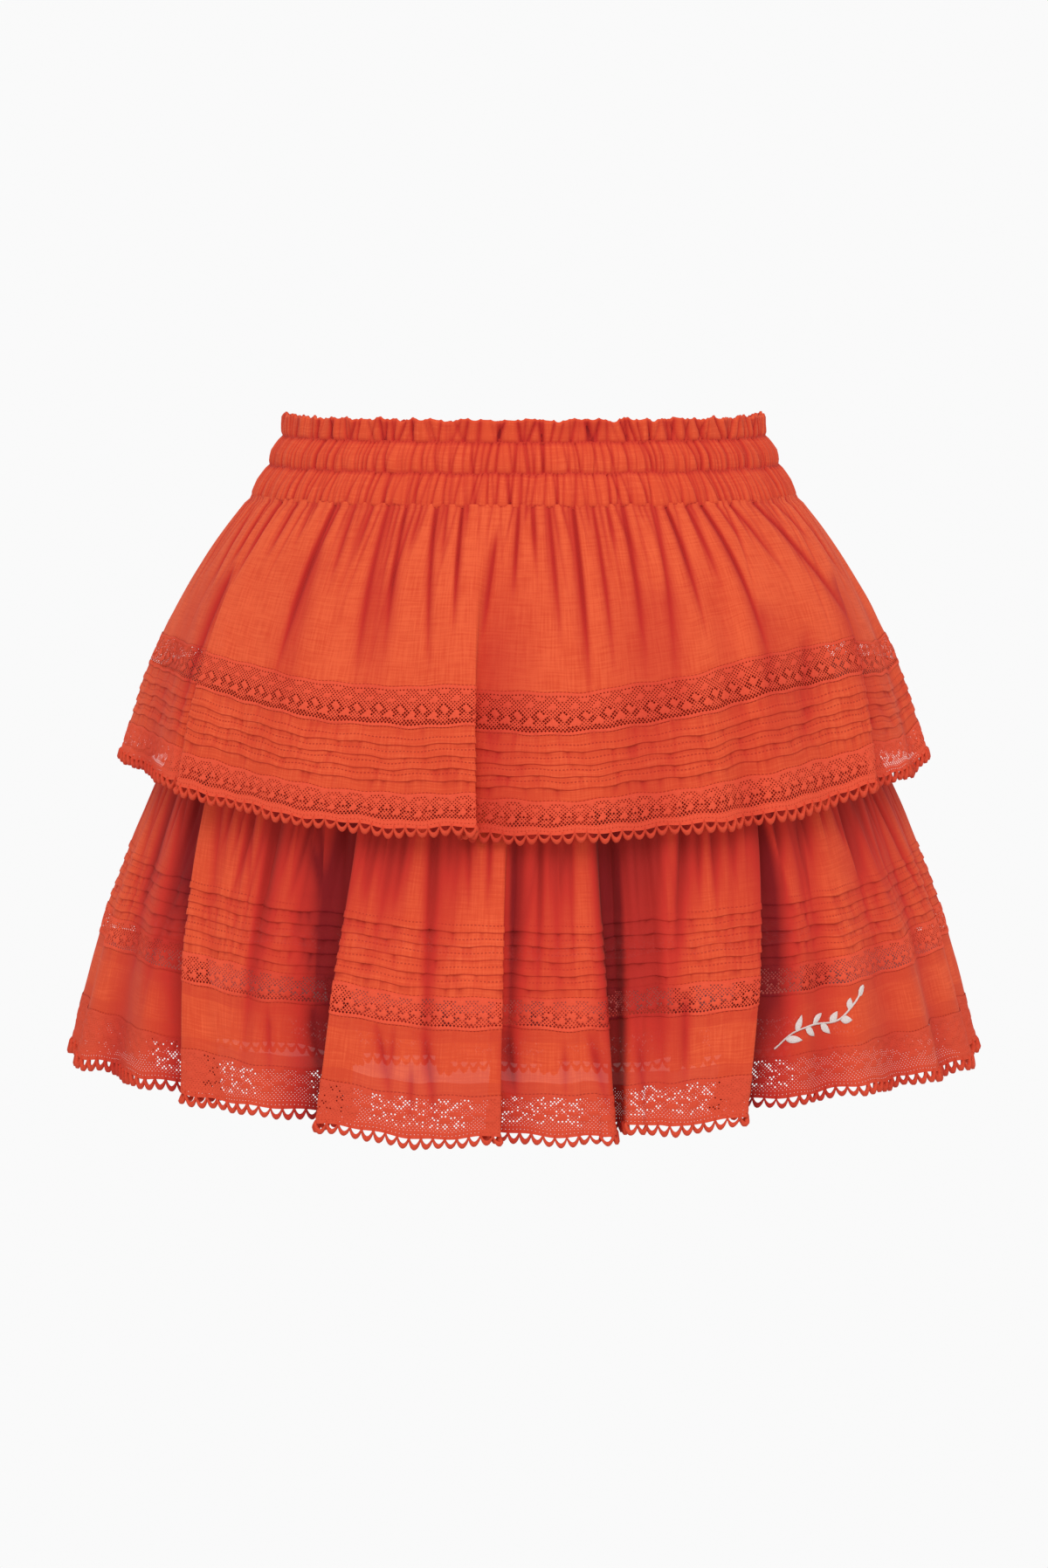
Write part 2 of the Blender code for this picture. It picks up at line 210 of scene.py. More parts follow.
LOWER_CREASES = table(
    Crease,
    (-88, -88, 30, 110, 1.4, 1.2), (-82, -80, 30, 120, 1.8, 1.4, 0.3),
    (-76, -75, 20, 104, 1.4, 1, -0.2), (-72, -69, 30, 140, 1.4, 3, 0.2),
    (-68, -66, 20, 96, 1.6, 1.2), (-64, -60, 20, 124, 2.4, 1.2, 0.4),
    (-61, -59, 30, 190, 3, 5, -0.4), (-51, -50, 20, 84, 1.8, 1.0),
    (-48, -47, 20, 90, 1.6, 1.0), (-45.5, -45, 30, 116, 2.4, 1.2, 0.3),
    (-42, -36.3, 20, 199, 3.6, 4.5, 0.9), (-40.5, -39, 30, 144, 2.6, 1.2, 0.4),
    (-37, -37, 20, 90, 1.8, 1.0), (-34, -35, 30, 100, 2.2, 1.1, 0.2),
    (-34, -29, 56, 92, 1.8, 1.2), (-29.5, -26.5, 20, 104, 2.4, 1.4),
    (-27, -25, 20, 140, 2.8, 3.4, -0.3), (-21.5, -23, 20, 96, 2.6, 1.4, 0.2),
    (-19.5, -20, 20, 120, 2.0, 4.0), (-17.5, -18.5, 20, 100, 2.4, 1.2, 0.2),
    (-14, -12, 20, 180, 3.2, 2, 0.5), (-10, -9.5, 20, 120, 1.4, 4, -0.5),
    (-11, -11, 10, 80, 1.8, 1.0), (-8.5, -7.5, 20, 96, 2.4, 1.2, -0.2),
    (-5, -5, 30, 94, 2.2, 1.0), (-1.2, -2.2, 20, 199, 2.6, 1.6, 0.5),
    (2.8, 1.5, 20, 150, 2.6, 1.2, 0.2), (4.8, 4.2, 20, 160, 2.0, 3.4),
    (7, 6.5, 20, 130, 1.8, 1.2, -0.4), (11.5, 10.5, 10, 199, 3, 3, 0.2),
    (13.6, 12.4, 10, 170, 4.6, 2.6, -0.2), (15.0, 14.0, 10, 199, 3.4, 4.0),
    (17.5, 15.5, 20, 128, 2.4, 1.4, -0.2), (19, 16.8, 20, 199, 5.2, 4.6, -0.6),
    (21.5, 18.5, 20, 96, 2.2, 1.2), (26, 19, 20, 140, 3.6, 2, 0.4),
    (28, 24.5, 30, 100, 3, 1.4, -0.4), (30.5, 27, 20, 104, 3.2, 1.5, 0.2),
    (33.5, 31, 10, 90, 1.8, 1.0), (39.5, 34, 20, 199, 2.6, 7, -0.5),
    (43, 39.5, 20, 100, 2.2, 1.4, 0.3), (48, 47, 20, 84, 1.8, 1.2),
    (52, 52, 10, 76, 1.6, 1.2), (58.5, 56, 20, 124, 2.4, 1.8, 0.4),
    (63, 64, 30, 130, 1.8, 4.5, -0.3), (67, 68, 10, 96, 1.8, 1.2),
    (70, 76, 30, 140, 2.6, 1.6, -0.3), (76, 80, 20, 130, 1.6, 5, -0.2),
    (84, 86, 20, 96, 1.8, 1.4), (-35, -32.5, 141, 188, 1.8, 1.2),
    (-29.5, -27, 141, 182, 2, 1.2, 0.2), (-19, -15.5, 141, 186, 2.2, 1.1),
    (-16.5, -16.5, 141, 176, 1.6, 1.0), (-14, -13.5, 156, 192, 1.8, 1.0),
    (-12.8, -10.2, 141, 194, 2.6, 1.2, 0.3), (-2.2, -0.8, 141, 184, 2.4, 1.5, -0.4),
    (5, 5, 145, 182, 1.6, 1.0), (8, 10.5, 141, 190, 2.2, 1.3, 0.4),
    (14.5, 14.5, 150, 190, 1.8, 1.1), (21.3, 19.3, 128, 190, 2, 1.8, -0.4),
    (39.5, 41.5, 20, 104, -1.8, 1.8), (56, 57.5, 60, 130, -1.5, 1.6),
)
print("folds:", len(UPPER_FOLDS), "and", len(LOWER_FOLDS))
print("creases:", len(UPPER_CREASES), "and", len(LOWER_CREASES))

# %% Distances down the cloth, from each tier's seam, in millimetres
UPPER_LACE_TOP = 96.0
UPPER_LACE_END = 116.0
UPPER_TUCKS = (125.4, 132.0, 138.0, 144.0)
UPPER_EDGING_TOP = 151.0
UPPER_HEM = 172.0
LOWER_TUCKS = (95.0, 101.8, 108.6, 115.4, 122.0)
LOWER_LACE_TOP = 127.0
LOWER_LACE_END = 141.5
LOWER_EDGING_TOP = 175.0
LOWER_HEM = 199.0
FOLD_ROUND = 20.0  # a larger value gives a rounder fold
BACK_DROP = 9.0  # how much lower the waist lies at the middle of the back than at the front
HEM_DIP = 40.0  # how much lower the lower hem lies at the middle of the back

# %% [markdown]
# ## Reading the form at any place
#
# The place round a tier is a running number, and each crest and valley is a whole one, so a fold that tucks
# back under its neighbour is still one way along the cloth. Whole arrays of places are read at once, because
# the lace alone has tens of thousands of threads.

# %% Curves through a table's rows


def hermite(t, a, b, slope_a, slope_b):
    """A cubic from a to b as t goes from 0 to 1, with those slopes at its ends."""
    u = 1 - t
    return (1 + 2 * t) * u * u * a + t * u * u * slope_a + t * t * (3 - 2 * t) * b - t * t * u * slope_b


def read(rows, down):
    """A table's columns at each distance down, on a smooth curve through its rows."""
    level = rows[:, 0]
    last = len(rows) - 1
    i = np.clip(np.searchsorted(level, down, side="right") - 1, 0, last - 1)
    before, after = np.maximum(i - 1, 0), np.minimum(i + 2, last)
    step = (level[i + 1] - level[i])[:, None]
    slope_a = (rows[i + 1] - rows[before]) / (level[i + 1] - level[before])[:, None] * step
    slope_b = (rows[after] - rows[i]) / (level[after] - level[i])[:, None] * step
    t = ((down - level[i]) / (level[i + 1] - level[i]))[:, None]
    return hermite(t, rows[i], rows[i + 1], slope_a, slope_b)


def fold_knots(front):
    """A row for each crest and valley, all round: its angle at the seam and the hem, out, lift, hitch."""
    folds = list(front) + [f._replace(crest=f.crest + 180, valley=f.valley + 180) for f in front]
    folds.append(folds[0]._replace(crest=folds[0].crest + 360, valley=folds[0].valley + 360))
    rows = []
    for f, after in zip(folds, folds[1:]):
        here, there = f.crest + f.slip, after.crest + after.slip
        shy = 0.25 * (there - here)
        valley = min(max(f.valley + f.slip, here + shy), there - shy)
        rows.append((here, f.crest, f.crest_out, f.crest_lift, f.hitch))
        rows.append((valley, f.valley, f.valley_out, f.valley_lift, (f.hitch + after.hitch) / 2))
    end = folds[-1]
    rows.append((end.crest + end.slip, end.crest, end.crest_out, end.crest_lift, end.hitch))
    return np.array(rows)


# %% Troughs in the cloth
PUFF = 1.8  # how far gathered cloth swells out just below its seam
PUFF_FADE = 16.0  # millimetres down the cloth over which that swelling dies away
RIPPLE = 0.45  # how far the cloth rides up and down, so that no line across it is straight
CREASE_REACH = 24.0  # degrees from a crease's middle past which it moves nothing
SHADE_FADE = 34.0  # millimetres over which the shade under the tier above fades in
NEAR_ROUND = 0.02  # how far to each side a normal looks, in places round the tier
NEAR_DOWN = 0.6  # and how far up and down the cloth


def trough(across, width, lean):
    """How deep a trough is: 1 in its middle, then a sharp bank and a soft shoulder, one side steeper."""
    bank = np.where(across < 0, width * (1 - 0.7 * lean), width * (1 + 0.7 * lean))
    return 0.8 * np.exp(-np.abs(across / bank) ** 1.2) + 0.2 * np.exp(-((across / (3.0 * bank)) ** 2))


def fading(down, start, stop):
    """1 along a crease, falling away over its lower end and, where it starts free, its upper end."""
    tail = np.clip((stop - down) / (0.7 * (stop - start)), 0, 1)
    head = np.where(start > 0, np.clip((down - start) / 14, 0, 1), 1)
    return (tail * tail * (3 - 2 * tail)) * head


class Gathers(NamedTuple):
    """Fine uneven gathers at a seam, as arrays with a value for each: where, how deep, wide and long."""

    place: np.ndarray
    depth: np.ndarray
    width: np.ndarray
    reach: np.ndarray
    slant: np.ndarray


def uneven_gathers(seed, count, depth, width, reach=(1e4, 1e4), slant=0.0):
    """Gathers round a whole seam, unevenly spaced. depth, width and reach are (least, most)."""
    chance = np.random.default_rng(seed)
    steps = chance.uniform(0.4, 1.6, count)
    place = -90 + 360 * np.cumsum(steps) / steps.sum()
    sizes = [chance.uniform(*size, count) for size in (depth, width, reach)]
    return Gathers(place, *sizes, chance.uniform(-slant, slant, count))


def gathered(g, seam, down, per_degree):
    """How deep the gathers are at each place."""
    deep = np.zeros(len(down))
    nearest = np.searchsorted(g.place, seam)
    for k in (-2, -1, 0, 1):
        i = (nearest + k) % len(g.place)
        away = (seam - g.place[i] - g.slant[i] * down / 30 + 180) % 360 - 180
        fade = np.exp(-((down / g.reach[i]) ** 1.6))
        deep += g.depth[i] * trough(away * per_degree, g.width[i] * (1 + down / 100), 0) * fade
    return deep


class Puckers(NamedTuple):
    """Fine gathers in a strip between two rows of stitches; pull is how soon they fade from its top."""

    start: float
    stop: float
    pull: float
    gathers: Gathers


def stitched_strips(lines, seed, count, depth, width, pull):
    """Puckers between each pair of stitched lines, each with gathers of its own."""
    return [
        Puckers(a, b, pull, uneven_gathers(seed + k, count, depth, width, slant=1.5))
        for k, (a, b) in enumerate(zip(lines, lines[1:]))
    ]


# %% A tier's surface
class Tier:
    """The form of one tier. Places round it are running numbers; distances are in millimetres."""

    def __init__(self, sections, drop, dip, folds=None, creases=(), gathers=None, strips=(), shade=(0, 0)):
        self.sections = np.array(sections, float)
        self.drop = drop  # at the back, at its top
        self.dip = dip  # at the back, at its hem
        self.length = sections[-1].down
        plain = np.array([(-90, -90, 0, 0, 0), (90, 90, 0, 0, 0), (270, 270, 0, 0, 0)], float)
        self.knots = plain if folds is None else fold_knots(folds)
        self.turn = math.degrees(FOLD_ROUND / sections[-1].half_depth)
        self.creases = [c._replace(top=c.top + r, end=c.end + r) for r in (0, 180) for c in creases]
        self.gathers = gathers
        self.strips = strips
        # The painted shade under the tier above: how dark, and how far down it reaches
        self.shade, self.shade_end = shade  # how dark it is under the tier above, and down to where
        self.round = len(self.knots) - 1

    def columns(self, place):
        """The columns of the fold table at each place."""
        i = np.clip(np.floor(place).astype(int), 0, self.round - 1)
        t = place - i
        a, b = self.knots[i], self.knots[i + 1]
        run = np.maximum(b[:, 1] - a[:, 1], self.turn)
        seam = a[:, 0] + (b[:, 0] - a[:, 0]) * t
        hem = hermite(t, a[:, 1], b[:, 1], run, run)
        out, lift, hitch = (hermite(t, a[:, k], b[:, k], 0, 0) for k in (2, 3, 4))
        return seam, hem, out, lift, hitch

    def relief(self, angle, seam, down, row):
        """How far creases and gathers move the cloth in or out, and how deep they are."""
        per_degree = math.pi / 360 * (row[:, 1] + row[:, 2])
        deep = np.zeros(len(down))
        for c in self.creases:
            beside = np.abs(angle - (c.top + c.end) / 2) < CREASE_REACH
            near = np.flatnonzero(beside & (down < c.stop) & (down >= c.start))
            d = down[near]
            middle = c.top + (c.end - c.top) * np.clip((d - c.start) / (c.stop - c.start), 0, 1)
            across = (angle[near] - middle) * per_degree[near]
            wide = c.width * (0.7 + 0.5 * d / c.stop)
            deep[near] += c.depth * trough(across, wide, c.lean) * fading(d, c.start, c.stop)
        if self.gathers is not None:
            deep += gathered(self.gathers, seam, down, per_degree)
        for strip in self.strips:
            near = np.flatnonzero((down > strip.start) & (down < strip.stop))
            d = down[near] - strip.start
            fade = np.exp(-d / strip.pull) * np.minimum(1, d / 0.5)
            deep[near] += gathered(strip.gathers, seam[near], d, per_degree[near]) * fade
        puffed = 0 if self.gathers is None else PUFF * np.exp(-down / PUFF_FADE) * np.minimum(1, down / 3)
        return puffed - deep * np.clip(0.3 + down / 5, 0, 1), deep

    def surface(self, place, down):
        """The points of the cloth, in millimetres, and the painted shade there, from 0 to 1."""
        seam, hem, out, lift, hitch = self.columns(place)
        row = read(self.sections, down)
        grown = down / self.length
        angle = np.radians(seam + (hem - seam) * grown)
        side, front = np.sin(angle), -np.cos(angle)
        facing = np.stack([side * row[:, 2], front * row[:, 1]], -1)
        facing /= np.linalg.norm(facing, axis=1)[:, None]
        relief, deep = self.relief(np.degrees(angle), seam, down, row)
        moved = out * grown + relief
        z = row[:, 3] * side**2 + row[:, 4] * front**2 + lift * grown + hitch * 4 * grown * (1 - grown)
        z -= (self.drop * (1 - grown) + self.dip * grown) * np.maximum(front, 0)
        flat = np.stack([row[:, 1] * side, row[:, 2] * front], -1) + facing * moved[:, None]
        z += RIPPLE * grown * (np.sin(angle * 23 + down / 7) + np.sin(angle * 61 - down / 5 + 2))
        # Painted shade: deep where creases and gathers are deep, under the tier above, and in fold valleys
        # far in
        painted_shade = 0.72 * (1 - np.exp(-np.maximum(deep - 0.1, 0) / 1.3))
        painted_shade += self.shade * np.clip((self.shade_end - down) / SHADE_FADE, 0, 1)
        painted_shade += np.clip((-out - 5) / 19, 0, 1) * np.clip(3.2 * grown - 0.4, 0, 1)
        return np.column_stack([flat, z]), np.clip(painted_shade, 0, 1)

    def point(self, place, down):
        return self.surface(place, down)[0]

    def normal(self, place, down):
        """Outwards from the surface, from the points around it."""
        left, right = np.maximum(place - NEAR_ROUND, 0), np.minimum(place + NEAR_ROUND, self.round)
        across = self.point(right, down) - self.point(left, down)
        low, high = np.maximum(down - NEAR_DOWN, 0), np.minimum(down + NEAR_DOWN, self.length)
        along = self.point(place, low) - self.point(place, high)
        out = np.cross(across, along)
        return out / np.maximum(np.linalg.norm(out, axis=1), 1e-9)[:, None]


upper_gathers = uneven_gathers(3, 190, (0.4, 1.7), (0.4, 0.75), (7, 56), 2.0)
lower_gathers = uneven_gathers(8, 160, (0.6, 2.4), (0.8, 1.6), (50, 110), 2.0)
upper_lines = (UPPER_LACE_END, *UPPER_TUCKS, UPPER_EDGING_TOP)
lower_lines = (*LOWER_TUCKS, LOWER_LACE_TOP)
upper_strips = stitched_strips(upper_lines, 20, 170, (0.1, 0.9), (0.6, 1.6), 7.0)
lower_strips = stitched_strips(lower_lines, 40, 220, (0.1, 1.0), (0.6, 1.6), 7.0)
hem_strips = stitched_strips((LOWER_LACE_END, 158.0), 60, 150, (0.1, 0.6), (0.8, 2.2), 7.0)
upper = Tier(UPPER, BACK_DROP, 0, UPPER_FOLDS, UPPER_CREASES, upper_gathers, upper_strips)
# The lower tier gets painted shade under the upper tier's hem
lower = Tier(
    LOWER, 0, HEM_DIP, LOWER_FOLDS, LOWER_CREASES, lower_gathers, lower_strips + hem_strips, (0.14, 84)
)
yoke = Tier(YOKE, BACK_DROP, 0)
print("knots round the tiers:", upper.round, lower.round)

# %% [markdown]
# ## Flat pieces, then hung
#
# A stretch of a tier is measured once along its cloth, so that a step across the flat piece is the same step
# on the hung one. A flat piece is made in millimetres: x runs round the skirt, y runs up the cloth and z
# stands out from it. Hanging it moves each corner to the tier's surface, and out along its normal.
# The flat places stay with the mesh as its UV map, in metres, so the weave lies along the cloth.

# %% A stretch of a tier
STRETCH_STEPS = 12000


class Stretch:
    """A stretch of a tier, from one place to another, as long as the cloth is at one distance down."""

    def __init__(self, tier, first, last, measured_down):
        self.tier = tier
        self.places = np.linspace(first, last, STRETCH_STEPS + 1)
        points = tier.point(self.places, np.full(len(self.places), float(measured_down)))
        steps = np.linalg.norm(np.diff(points, axis=0), axis=1)
        self.along = np.concatenate([[0], np.cumsum(steps)])
        self.width = float(self.along[-1])

    def place(self, x):
        return np.interp(x, self.along, self.places)


def all_round(tier, measured_down):
    return Stretch(tier, 0, tier.round, measured_down)


def half(tier, side, measured_down):
    """The front or the back, from side seam to side seam."""
    middle = tier.round // 2
    first, last = (0, middle) if side == "front" else (middle, tier.round)
    return Stretch(tier, first, last, measured_down)


# %% Flat sheets


def flat_sheet(width, rows, step):
    """A flat grid with a row for each (down, stand), and columns about a step apart."""
    bm = bmesh.new()
    across, levels = max(2, round(width / step)), len(rows) - 1
    bmesh.ops.create_grid(bm, x_segments=across, y_segments=levels, size=0.5)
    for v in bm.verts:
        down, stand = rows[round((0.5 - v.co.y) * levels)]
        v.co = ((v.co.x + 0.5) * width, -down, stand)
    return bm


def evenly(top, end, step):
    """Rows from top to end, about a step apart, lying flat."""
    count = max(1, round((end - top) / step))
    return [(top + (end - top) * k / count, 0.0) for k in range(count + 1)]


def with_tucks(rows, tucks, stand, deep):
    """The rows with a pin tuck at each distance: a step up at its stitches, its flat fold, a sharp drop."""
    kept = [r for r in rows if all(not t - deep - 0.8 < r[0] < t + 1.2 for t in tucks)]
    for t in tucks:
        kept += [(t - deep, 0.0), (t - deep + 0.4, 0.6 * stand), (t - 0.3, stand), (t, 0.9 * stand)]
        kept += [(t + 0.15, 0.1 * stand), (t + 0.6, 0.0)]
    return sorted(kept)


# %% Hanging a flat piece


def hang(name, bm, stretch, finish, lift=0.0, closed=False):
    """Makes a piece from a flat one, hung on its stretch of the tier, lift millimetres out."""
    mesh = bpy.data.meshes.new(name)
    bm.to_mesh(mesh)
    bm.free()
    flat = np.empty(len(mesh.vertices) * 3)
    mesh.vertices.foreach_get("co", flat)
    flat = flat.reshape(-1, 3)
    corners = np.empty(len(mesh.loops), int)
    mesh.loops.foreach_get("vertex_index", corners)
    layer = mesh.uv_layers.new(name="cloth")
    layer.data.foreach_set("uv", (flat[corners, :2] * MM).ravel())
    place, down = stretch.place(flat[:, 0]), np.clip(-flat[:, 1], 0, stretch.tier.length)
    spill = np.maximum(-flat[:, 1] - stretch.tier.length, 0) - np.maximum(flat[:, 1], 0)
    hung, painted_shade = stretch.tier.surface(place, down)
    hung += stretch.tier.normal(place, down) * (flat[:, 2] + lift)[:, None]
    # Each corner keeps its painted shade as an attribute that the finishes read
    mesh.attributes.new("painted_shade", "FLOAT", "POINT").data.foreach_set("value", painted_shade.astype(np.float32))
    hung[:, 2] -= spill
    mesh.vertices.foreach_set("co", (hung * MM).ravel())
    if closed:
        closing = bmesh.new()
        closing.from_mesh(mesh)
        bmesh.ops.remove_doubles(closing, verts=closing.verts, dist=0.02 * MM)
        closing.to_mesh(mesh)
        closing.free()
    mesh.shade_smooth()
    mesh.materials.append(finish)
    mesh.update()
    piece = bpy.data.objects.new(name, mesh)
    bpy.context.collection.objects.link(piece)
    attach(piece, "root")
    print(f"{name}: {sum(len(p.vertices) - 2 for p in mesh.polygons)} triangles")
    return piece


# %% [markdown]
# ## Finishes
#
# Voile is a thin plain weave of fine cotton: matt, slightly slubby, and open enough for light to come
# through. Its shader is matt cloth with a faint sheen, mixed with a translucent one and a little see-through.
# Lace is the same cotton in thicker, twisted thread.

# %% Writing shader maths as Python


class Socket:
    """A node's output. Sums with it add a Math node each."""

    def __init__(self, finish, output):
        self.finish = finish
        self.output = output

    def math(self, operation, *values):
        return self.finish.node("ShaderNodeMath", dict(enumerate(values)), operation=operation)

    def __add__(self, other):
        return self.math("ADD", self, other)

    def __radd__(self, other):
        return self.math("ADD", other, self)

    def __sub__(self, other):
        return self.math("SUBTRACT", self, other)

    def __rsub__(self, other):
        return self.math("SUBTRACT", other, self)

    def __mul__(self, other):
        return self.math("MULTIPLY", self, other)

    def __rmul__(self, other):
        return self.math("MULTIPLY", other, self)

    def __lt__(self, other):
        return self.math("LESS_THAN", self, other)

    def __abs__(self):
        return self.math("ABSOLUTE", self)

    def sine(self):
        return self.math("SINE", self)

    def wrapped(self, length):
        """The rest after whole lengths are taken away."""
        return self.math("WRAP", self, length, 0.0)

    def smallest(self, other):
        return self.math("MINIMUM", self, other)


class Finish:
    """A material, or the world, and the one method that adds nodes to it."""

    def __init__(self, owner):
        self.owner = owner
        owner.use_nodes = True
        self.tree = owner.node_tree
        self.tree.nodes.clear()

    def node(self, kind, inputs=None, output=0, **settings):
        made = self.tree.nodes.new(kind)
        for key, value in settings.items():
            setattr(made, key, value)
        for key, value in (inputs or {}).items():
            if isinstance(value, Socket):
                self.tree.links.new(value.output, made.inputs[key])
            else:
                made.inputs[key].default_value = value
        return Socket(self, made.outputs[output]) if len(made.outputs) else None

    def close(self, shader, output="ShaderNodeOutputMaterial"):
        self.node(output, {"Surface": shader})
        return self.owner

    def blend(self, factor, a, b):
        """Colour a where the factor is 0, and b where it is 1."""
        return self.node("ShaderNodeMix", {0: factor, 6: a, 7: b}, 2, data_type="RGBA")

    def noise(self, vector, scale, detail=2.0):
        return self.node("ShaderNodeTexNoise", {"Vector": vector, "Scale": scale, "Detail": detail})

    def cloth(self, surface, bump, through, light):
        """Matt cloth with that bump, mixed with a share of the light that comes through it."""
        surface["Normal"] = self.node("ShaderNodeBump", bump)
        matt = self.node("ShaderNodeBsdfPrincipled", surface)
        lit = self.node("ShaderNodeBsdfTranslucent", {"Color": light})
        return self.close(self.node("ShaderNodeMixShader", {0: through, 1: matt, 2: lit}))


# %% Cotton voile
LIT_CORAL = (0.92, 0.13, 0.045, 1.0)
DEEP_CORAL = (0.78, 0.082, 0.028, 1.0)
DOUBLED_CORAL = (0.66, 0.058, 0.024, 1.0)
SHADE_CORAL = (0.60, 0.030, 0.020, 1.0)
RECESS_CORAL = (0.20, 0.004, 0.010, 1.0)
INSIDE = 0.45  # how deep in shade the skirt's inside lies, as its light comes through the cloth
STITCH_CORAL = (0.36, 0.018, 0.012, 1.0)
THROUGH_CORAL = (0.86, 0.10, 0.035, 1.0)
ACROSS_YARN = 1100.0  # how often the weave changes in a metre, across its yarns
ALONG_YARN = 60.0  # and along them
STITCH_LONG = 2.0
STITCH_SHARE = 0.55  # of each stitch's length that shows as thread
STITCH_HALF = 0.34


def cloth_places(finish):
    """The flat places round and down the cloth, in metres, and both together."""
    both = finish.node("ShaderNodeUVMap", uv_map="cloth")
    x, y = (finish.node("ShaderNodeSeparateXYZ", {"Vector": both}, axis) for axis in ("X", "Y"))
    return x, y, both


def with_painted_shade(finish, colour, inner=0.0):
    """The colour deepened with painted shade in folds, gathers and the skirt's inside, where light is red."""
    painted_shade = finish.node("ShaderNodeAttribute", output="Fac", attribute_name="painted_shade")
    back = finish.node("ShaderNodeNewGeometry", output="Backfacing")
    shade = painted_shade + back * INSIDE + inner
    shaded = finish.blend(shade * 2.0, colour, SHADE_CORAL)
    return finish.blend(shade * 2.0 - 1.0, shaded, RECESS_CORAL)


def stitched(x, y, rows):
    """1 on the stitches of each row, and 0 between them. A row is a distance down, in millimetres."""
    nearest = abs(y + rows[0] * MM)
    for row in rows[1:]:
        nearest = nearest.smallest(abs(y + row * MM))
    return (nearest < STITCH_HALF * MM) * (x.wrapped(STITCH_LONG * MM) < STITCH_SHARE * STITCH_LONG * MM)


def between(y, strips):
    """1 within any of the strips down the cloth, in millimetres."""
    inside = None
    for top, end in strips:
        within = abs(y + (top + end) / 2 * MM) < (end - top) / 2 * MM
        inside = within if inside is None else inside + within
    return inside


def voile(name, rows=(), doubled=(), tucks=(), through=0.14, clear=0.02, inner=0.0, pale=0.0):
    """Thin plain-woven cotton, with rows of stitches, and strips where a seam's turning doubles it.

    Under each tuck runs a fine line of painted shade. clear is the share of light that comes straight through
    the weave, inner is above 0 for cloth that another layer keeps in the shade and adds painted shade there,
    and pale paints light over the whole piece when above 0, and shade when below.
    """
    finish = Finish(bpy.data.materials.new(name))
    x, y, both = cloth_places(finish)
    warp = finish.node("ShaderNodeCombineXYZ", {0: x * ACROSS_YARN, 1: y * ALONG_YARN})
    weft = finish.node("ShaderNodeCombineXYZ", {0: x * ALONG_YARN, 1: y * ACROSS_YARN})
    slubs = finish.noise(warp, 1.0, 1.0) + finish.noise(weft, 1.0, 1.0)
    clouds = finish.noise(both, 28.0, 3.0)
    # The slubs and clouds vary the tone at random; pale paints light over the whole piece when above 0 and
    # shade when below
    tone = (slubs - 1.0) * 1.8 + (clouds - 0.5) * 1.2 + 0.5 + pale
    colour = finish.blend(tone, DEEP_CORAL, LIT_CORAL)
    height = slubs
    alpha = 1.0 - clear
    if doubled:
        twice = between(y, doubled)
        colour = finish.blend(twice * 0.5, colour, DOUBLED_CORAL)
        alpha = twice * (clear * 0.8) + alpha
    if rows:
        mark = stitched(x, y, rows)
        colour = finish.blend(mark * 0.6, colour, STITCH_CORAL)
        height = slubs - mark * 1.5
    if tucks:
        # A thin strip of painted shade under each tuck's edge
        painted_tuck_shade = between(y, [(t, t + 0.45) for t in tucks])
        colour = finish.blend(painted_tuck_shade * 0.6, colour, SHADE_CORAL)
    surface = {
        "Base Color": with_painted_shade(finish, colour, inner),
        "Roughness": 0.85,
        "Specular IOR Level": 0.2,
        "Sheen Weight": 0.08,
        "Sheen Roughness": 0.5,
        "Sheen Tint": (1.0, 0.62, 0.5, 1.0),
        "Alpha": alpha,
    }
    bump = {"Strength": 0.4, "Distance": 0.16 * MM, "Height": height}
    return finish.cloth(surface, bump, through, THROUGH_CORAL)


# %% Lace thread
LIT_THREAD = (0.95, 0.128, 0.056, 1.0)
DEEP_THREAD = (0.90, 0.085, 0.038, 1.0)
LIT_HEM, DEEP_HEM = (0.86, 0.105, 0.046, 1.0), (0.72, 0.066, 0.03, 1.0)
LIT_PICOT, DEEP_PICOT = (0.90, 0.11, 0.048, 1.0), (0.72, 0.058, 0.026, 1.0)
LIT_SPRIG, DEEP_SPRIG = (0.92, 0.83, 0.79, 1.0), (0.80, 0.66, 0.62, 1.0)


def thread(name, lit, deep, through, twist=1.2, shaded=True):
    """Twisted cotton thread: fine ribs across its length."""
    finish = Finish(bpy.data.materials.new(name))
    x, y, both = cloth_places(finish)
    ribs = ((x + y) * (2 * math.pi / (twist * MM))).sine() * ((x - y) * (2 * math.pi / (twist * MM))).sine()
    fuzz = finish.noise(both, 900.0)
    colour = finish.blend(fuzz * 0.9 + ribs * 0.2, deep, lit)
    # Lace thread takes the same painted shade as the cloth; the sprig's thread is left without it
    if shaded:
        colour = with_painted_shade(finish, colour)
    surface = {"Base Color": colour, "Roughness": 0.88, "Specular IOR Level": 0.25}
    bump = {"Strength": 0.5, "Distance": 0.2 * MM, "Height": ribs + fuzz}
    return finish.cloth(surface, bump, through, lit)


lace_thread = thread("lace_thread", LIT_THREAD, DEEP_THREAD, 0.12)
hem_thread = thread("hem_thread", LIT_HEM, DEEP_HEM, 0.1)
picot_thread = thread("picot_thread", LIT_PICOT, DEEP_PICOT, 0.1, 1.0)
print("finishes for lace:", lace_thread.name, hem_thread.name, picot_thread.name)

# %% [markdown]
# ## The waistband
#
# One strip of voile, folded over two elastics, with a frilled header above them. The elastic draws the cloth
# up into fine pleats. Its grid runs up the inside, over the frill's edge and down the outside.

# %% The waistband's form
FRILL_LINE = 12.0
MIDDLE_LINE = 27.5
BAND_END = 44.2
BAND_WALL = 2.4


